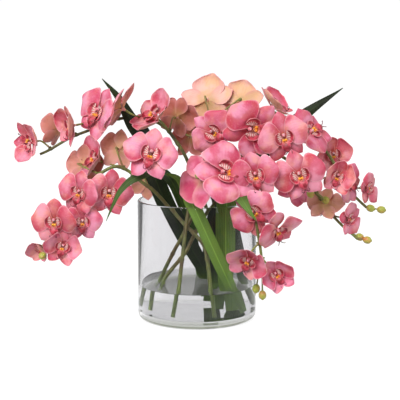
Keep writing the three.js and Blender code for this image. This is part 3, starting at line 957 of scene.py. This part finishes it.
def spray(name, points, flowers, buds, finishes):
    """One grown piece: stem, stalks, joints and buds."""
    length = route(points, 2)[2]
    count = int(length / STEM_STEP)
    places, ways, length = route(points, count)
    stalks, joints = [], []
    for at, turned, nod, roll, size, *_ in flowers:
        line, start = stalk_line(places, length, at, turned, nod, roll, size)
        stalks.append((line, start))
        joints.append(start / (count - 1) * length)
    joints += list(np.arange(FIRST_NODE, length * NODE_SHARE, NODE_STEP))
    pieces = [tube(name, places, ways, stem_radii(count, joints, length), 12)]
    pieces[0].data.materials.append(finishes["stem"])
    slim = [STALK_RADIUS * (1.25 - 0.3 * math.sin(math.pi * i / 11)) for i in range(12)]
    for line, start in stalks:
        pieces.append(tube_along("stalk", line, slim, 8, finishes["stalk"]))
        out = line[1] - line[0]
        pieces.append(bract(places[start], ways[start], out, finishes["stem"]))
    for start, tip in buds:
        pieces.append(tube_along("bud_stalk", [start, tip], [1.2, 1.1, 1.1, 1.2, 1.5], 8,
                                 finishes["stalk"]))
        pieces.append(bud(start, tip, finishes["bud"]))
    return join(name, pieces)


# ---- leaves
def strap_leaf(name, points, facing, width, fold, material, across=None):
    """A folded strap with a sunken midrib, ridged along its length."""
    length = route(points, 2)[2]
    count = int(length / LEAF_STEP)
    places, ways, _ = route(points, count)
    stations = []
    for i, (place, way) in enumerate(zip(places, ways)):
        share = i / (count - 1)
        side = Vector(facing).cross(way).normalized()
        if across:
            side = (Vector(across) - way * way.dot(Vector(across))).normalized()
        taper = min(1, LEAF_BASE_SHARE + LEAF_BASE_RISE * share,
                    LEAF_TIP_SHARE + LEAF_TIP_RISE * (1 - share))
        half = width / 2 * taper
        stations.append((place, Matrix((side, way, side.cross(way) * -1)).transposed(), half, 0,
                         fold * half))
    piece = blade(name, 14, stations, lambda share: abs(share) ** 1.15 + 0.05 * math.cos(9 * share))
    piece.data.materials.append(material)
    modify(piece, "SOLIDIFY", thickness=LEAF_THICKNESS * MM, offset=0)
    face_outwards(piece)
    smooth(piece, 60)
    return piece


# Name, stem finish, route, flowers and buds. A flower is its place, turn, nod, roll, size and
# openness, how salmon its face is, how dark its back is, and how far its lip is turned
SPRAYS = [
    ("spray_left_high", "mixed",
     [(62, 22, 14), (34, 16, 101), (15, 12, 163), (-5, 5, 214), (-18, 3, 246), (-32, 5, 268),
      (-48, 8, 288), (-70, 13, 299), (-100, 18, 302), (-132, 23, 297), (-160, 27, 284),
      (-193, 30, 271), (-226, 32, 252), (-241, 33, 245)],
     [((-251, 20, 265), -45, 0, -120, 0.92, 0.7, 0.3, 0.5),
      ((-213, 42, 282), -118, -5, 20, 0.8, 0.7, 0.6, 0.9),
      ((-187, 8, 291), -65, 5, -15, 0.9, 0.7, 0.6, 0.55),
      ((-145, 2, 310), -42, -15, -25, 1.15, 0.82, 0.1, 0.45),
      ((-111, -14, 318), -98, -30, 0, 1.12, 0.85, 0.5, 0.9),
      ((-61, -12, 305), -58, -40, -82, 1.08, 0.72, 0.3, 0.55),
      ((-31, 36, 302), 160, -5, 20, 0.9, 0.8, 0.5, 0.95)],
     []),
    ("spray_left_low", "green",
     [(24, -60, 14), (20, -58, 51), (17, -48, 83), (11, -38, 112), (-4, -32, 130),
      (-18, -27, 142), (-32, -22, 157), (-45, -20, 174), (-64, -20, 195), (-85, -22, 211),
      (-102, -25, 226), (-120, -30, 233), (-141, -36, 224), (-156, -40, 208), (-184, -46, 170),
      (-217, -50, 132), (-230, -50, 111)],
     [((-150, -6, 240), -60, -20, -60, 0.98, 0.7, 0.2, 0.5),
      ((-117, -6, 256), 172, 10, 10, 0.85, 0.8, 0.4, 0.55),
      ((-66, -84, 256), 8, -18, -14, 1.06, 0.95, 0.1, 0.4),
      ((-77, 24, 205), 165, 30, 20, 0.85, 0.85, 0.4, 0.6),
      ((-168, -70, 200), -22, 2, -10, 0.88, 0.82, 0.25, 0.4),
      ((-127, -64, 199), 6, 0, -10, 0.95, 0.8, 0.4, 0.5),
      ((-204, -82, 160), -8, 6, -4, 0.92, 0.88, 0.5, 0.4),
      ((-166, -70, 158), 8, 8, 0, 0.8, 0.8, 0.1, 0.5),
      ((-194, -78, 123), 5, 6, -15, 0.78, 0.76, 0.3, 0.5),
      ((-229, -54, 116), -30, 30, 0, 0.6, 0.45, 0.4, 0.8),
      ((-172, 2, 232), 165, 8, -3, 0.85, 0.85, 0.4, 0.75)],
     [((-228, -50, 113), (-224, -76, 108))]),
    ("spray_top", "brown",
     [(56, 32, 14), (36, 30, 98), (26, 26, 168), (16, 18, 230), (9, 15, 272), (15, 22, 292),
      (28, 32, 302)],
     [((15, 54, 327), 172, 14, -77, 1.17, 0.85, 0.1, 0.1),
      ((67, 56, 325), 172, 12, -70, 0.98, 0.85, 0.3, 0.1),
      ((25, -34, 284), -14, 2, 52, 0.97, 0.85, 0.15, 0.4),
      ((8, -80, 220), 147, 22, -40, 1.15, 0.85, 0, 1),
      ((-10, 45, 271), 160, 14, 0, 0.9, 0.85, 0.5, 0.95)],
     []),
    ("spray_right_high", "green",
     [(-33, -60, 14), (-27, -58, 51), (-20, -42, 111), (-13, -30, 162), (2, -12, 223),
      (29, -2, 277), (64, 2, 306), (109, 4, 312), (155, 4, 290), (193, 2, 254), (218, -4, 215),
      (232, -8, 192), (243, -10, 180), (255, -12, 169)],
     [((78, -64, 292), 14, 4, -42, 1.2, 0.92, 0.1, 0.4, 130),
      ((123, -84, 282), 4, 8, 18, 1, 0.88, 0.35, 0.4),
      ((112, -20, 321), 74, -52, 4, 0.9, 0.75, 0.3, 0.4),
      ((167, -26, 283), 44, -35, 100, 1, 0.85, 0.1, 0.4),
      ((208, 34, 245), 15, 5, 10, 0.8, 0.72, 0.6, 0.6),
      ((223, -20, 206), 46, 0, 60, 0.85, 0.8, 0.1, 0.5),
      ((256, -8, 198), 50, -5, -65, 0.68, 0.82, 0.4, 0.6)],
     [((252, -12, 171), (261, -13, 168)), ((255, -12, 169), (277, -15, 166))]),
    ("spray_right_low", "green",
     [(-65, 13, 14), (-57, 9, 51), (-36, 2, 95), (-23, -4, 119), (5, -6, 171), (35, -4, 222),
      (72, -5, 248), (112, -10, 252), (149, -16, 230), (175, -20, 197), (196, -24, 166),
      (207, -26, 154), (219, -27, 142), (230, -28, 133), (240, -30, 124)],
     [((83, -98, 229), -4, 6, 12, 0.97, 0.85, 0.2, 0.4),
      ((146, -88, 228), 0, 5, 18, 1.04, 0.95, 0.3, 0.4),
      ((203, -60, 222), 8, -2, -20, 0.8, 0.5, 0.5, 0.4),
      ((155, 38, 194), 175, 30, 34, 0.85, 0.85, 0, 1),
      ((189, -30, 179), 160, 34, 5, 0.78, 0.85, 0.6, 0.5),
      ((225, -32, 156), 50, 0, -66, 0.7, 0.82, 0.3, 0.5)],
     [((162, -18, 214), (168, -34, 193)), ((178, -20, 194), (190, -38, 184)),
      ((230, -28, 133), (244, -24, 126)), ((238, -29, 126), (254, -32, 123))]),
    ("spray_front", "green",
     [(-58, -13, 14), (-52, -11, 51), (-42, -12, 68), (-18, -14, 97), (-6, -14, 120),
      (23, -17, 171), (46, -38, 205), (67, -65, 215), (80, -88, 193), (86, -98, 151),
      (91, -101, 121), (93, -102, 100)],
     [((39, -94, 229), 16, -28, 80, 1.25, 0.87, 0.1, 0.4),
      ((81, -98, 176), -4, 8, 45, 0.95, 0.9, 0.1, 0.4),
      ((112, -112, 154), 30, 34, 22, 0.95, 0.8, 0.4, 0.5),
      ((73, -124, 113), -22, 32, -32, 0.86, 0.75, 0.3, 0.6),
      ((112, -112, 89), 8, 5, 32, 0.78, 0.6, 0.05, 0.4)],
     [((91, -101, 104), (85, -102, 65)), ((93, -102, 100), (94, -104, 56))]),
]

# Name, finish, way it faces, width, fold, route, and the way across the blade if it is set
LEAVES = [
    ("leaf_left_long", "dark", (0, -1, 0.1), 27, 0.25,
     [(39, 38, 16), (15, 28, 55), (-23, 14, 123), (-48, 8, 173), (-68, 2, 227), (-80, 2, 272),
      (-97, 2, 296), (-117, 5, 332), (-142, 8, 361)]),
    ("leaf_front", "light", (0, -1, 0.2), 20, 0.3,
     [(65, -40, 16), (49, -44, 56), (22, -52, 116), (-5, -54, 176), (-24, -48, 213),
      (-39, -42, 222), (-50, -36, 222)]),
    ("leaf_narrow_drooping", "mid", (0, -1, 0.3), 15, 0.2,
     [(8, 46, 25), (-8, 38, 119), (-28, 16, 184), (-44, -12, 216), (-62, -52, 231),
      (-82, -82, 225), (-97, -88, 217), (-110, -94, 203), (-119, -98, 185), (-129, -100, 162)]),
    ("leaf_right_long", "dark", (0, -1, 0.1), 26, 0.25,
     [(13, 52, 16), (23, 50, 109), (43, 46, 173), (74, 42, 220), (110, 38, 258), (162, 26, 305),
      (219, 10, 347)]),
    ("leaf_over_rim", "even", (0, -1, 0.1), 30, 0.2,
     [(44, -22, 16), (43, -24, 105), (44, -32, 176), (50, -58, 206), (56, -84, 207),
      (62, -106, 198), (69, -119, 187), (76, -127, 177), (83, -132, 169)], (-1, -0.1, -0.1)),
    ("leaf_dark_right", "dark", (0, -1, 0), 22, 0.2,
     [(76, 8, 30), (66, 10, 81), (50, 8, 153), (44, 18, 200), (52, 40, 236)]),
    ("leaf_inner", "dark", (0, -1, 0), 18, 0.2,
     [(26, -8, 16), (27, -8, 70), (24, -6, 112), (26, 0, 160), (34, 8, 192)]),
]


# ---- the making
def keep(piece, node):
    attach(piece, "root")
    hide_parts(node)


back = petal_back()
face = petal_face()
patterns = {"lip": lip_parts(lip_finish(), lip_side_finish(), column_finish(), callus_finish(),
                             tendril_finish(), back)}
for form, shapes in (("spread", SPREAD), ("cupped", CUPPED)):
    petal = (PETAL_WIDTH, PETAL_BULGE, shapes["petal"])
    sepal = (SEPAL_WIDTH, SEPAL_BULGE, shapes["sepal"])
    patterns[form, "petal_right"] = lobe("petal_right", 18, 21, petal, -2.6, [face, back])
    patterns[form, "petal_left"] = lobe("petal_left", 18, 21, petal, 2.6, [face, back])
    patterns[form, "sepal"] = lobe("sepal", 12, 17, sepal, 0, [face, back])

STALK = stem_finish("stalk_olive", (0.30, 0.31, 0.07), (0.15, 0.17, 0.035), (0.24, 0.13, 0.05))
STEMS = {
    "green": stem_finish("stem_olive", (0.20, 0.22, 0.05), (0.10, 0.12, 0.028),
                         (0.13, 0.085, 0.03)),
    "mixed": stem_finish("stem_two_tone", (0.21, 0.21, 0.05), (0.10, 0.105, 0.028),
                         (0.045, 0.03, 0.014)),
    "brown": stem_finish("stem_brown", (0.10, 0.085, 0.03), (0.04, 0.032, 0.013),
                         (0.045, 0.025, 0.014)),
}
BUD = bud_finish()
GREENS = {
    "light": leaf_finish("leaf_light_green", (0.29, 0.48, 0.07), (0.085, 0.19, 0.026), 0.2),
    "mid": leaf_finish("leaf_mid_green", (0.10, 0.18, 0.028), (0.028, 0.068, 0.011), 0.5),
    "even": leaf_finish("leaf_deep_green", (0.20, 0.34, 0.048), (0.08, 0.165, 0.023), 0.25, 0.9),
    "dark": leaf_finish("leaf_dark_green", (0.024, 0.046, 0.010), (0.008, 0.015, 0.004), 0.9),
}

keep(vase(), "vase")
keep(water(), "water")
for name, tone, points, flowers, buds in SPRAYS:
    finishes = {"stem": STEMS[tone], "stalk": STALK, "bud": BUD}
    where = name.removeprefix("spray_")
    keep(spray("stems_of_" + where, points, flowers, buds, finishes), name)
    for number, row in enumerate(flowers, 1):
        piece = flower(f"bloom_{where}_{number}", patterns, *row)
        keep(piece, f"flower_{where}_{number}")
for name, tone, facing, width, fold, points, *across in LEAVES:
    piece = strap_leaf("strap_" + name, points, facing, width, fold, GREENS[tone], *across)
    keep(piece, name)

for pattern in patterns.pop("lip") + list(patterns.values()):
    bpy.data.objects.remove(pattern)

# ---- studio
let_go()
bpy.ops.mesh.primitive_plane_add(size=FLOOR_SIZE, location=(0, 2, -FLOOR_GAP))
floor = just_made("studio_floor")
floor.data.materials.append(floor_finish())


def soft_light(name, place, target, size, power, in_glass=True):
    """A square lamp. Gloss and glass show it only if in_glass is true."""
    light = bpy.data.lights.new(name, "AREA")
    light.size = size
    light.energy = power
    lamp = bpy.data.objects.new(name, light)
    bpy.context.scene.collection.objects.link(lamp)
    lamp.location = place
    way = Vector(target) - Vector(place)
    lamp.rotation_euler = way.to_track_quat("-Z", "Y").to_euler()
    lamp.visible_glossy = lamp.visible_transmission = in_glass


soft_light("key", (-1.25, -2.45, 2.5), (0, 0, 0.2), 1.9, 137)
soft_light("fill", (2.2, -1.8, 1.0), (0, 0, 0.2), 1.6, 22)
soft_light("back", (0.8, 2.4, 1.6), (0, 0, 0.25), 1.6, 45, in_glass=False)

# The sky: white to the eye, darker through glass, dim where it is mirrored and isn't behind the
# vase, and a soft lamp for the plants, stronger from the key lamp's side if it comes through glass
studio = Finish("studio", bpy.data.worlds.new("studio"))
bpy.context.scene.world = studio.material
way = studio.node("TexCoord", output="Generated")
through = studio.ray("Is Transmission Ray")
direct, seen = kinds_of_ray(studio, studio.axes(way)[1].between(*SKY_BEHIND))
glare = studio.node("VectorMath", {"operation": "DOT_PRODUCT"}, {0: way, 1: KEY_WAY}, "Value")
lamp = SKY_LAMP + through * (glare.most(0) ** 3) * SKY_THROUGH_GLASS
bright = (SKY_MIRRORED + seen * (SKY_SEEN - SKY_MIRRORED)) * (1 - through * GLASS_SHADE)
studio.feed("Strength", direct * bright + (1 - direct) * lamp)
studio.shader.inputs["Color"].default_value = (1, 1, 1, 1)

camera = bpy.data.objects.new("camera", bpy.data.cameras.new("camera"))
bpy.context.scene.collection.objects.link(camera)
camera.location = (0.0046, -1.5487, 0.4005)
camera.rotation_euler.x = math.radians(81.85)
camera.data.lens = 93.02
bpy.context.scene.camera = camera
bpy.context.scene.view_settings.view_transform = "Standard"
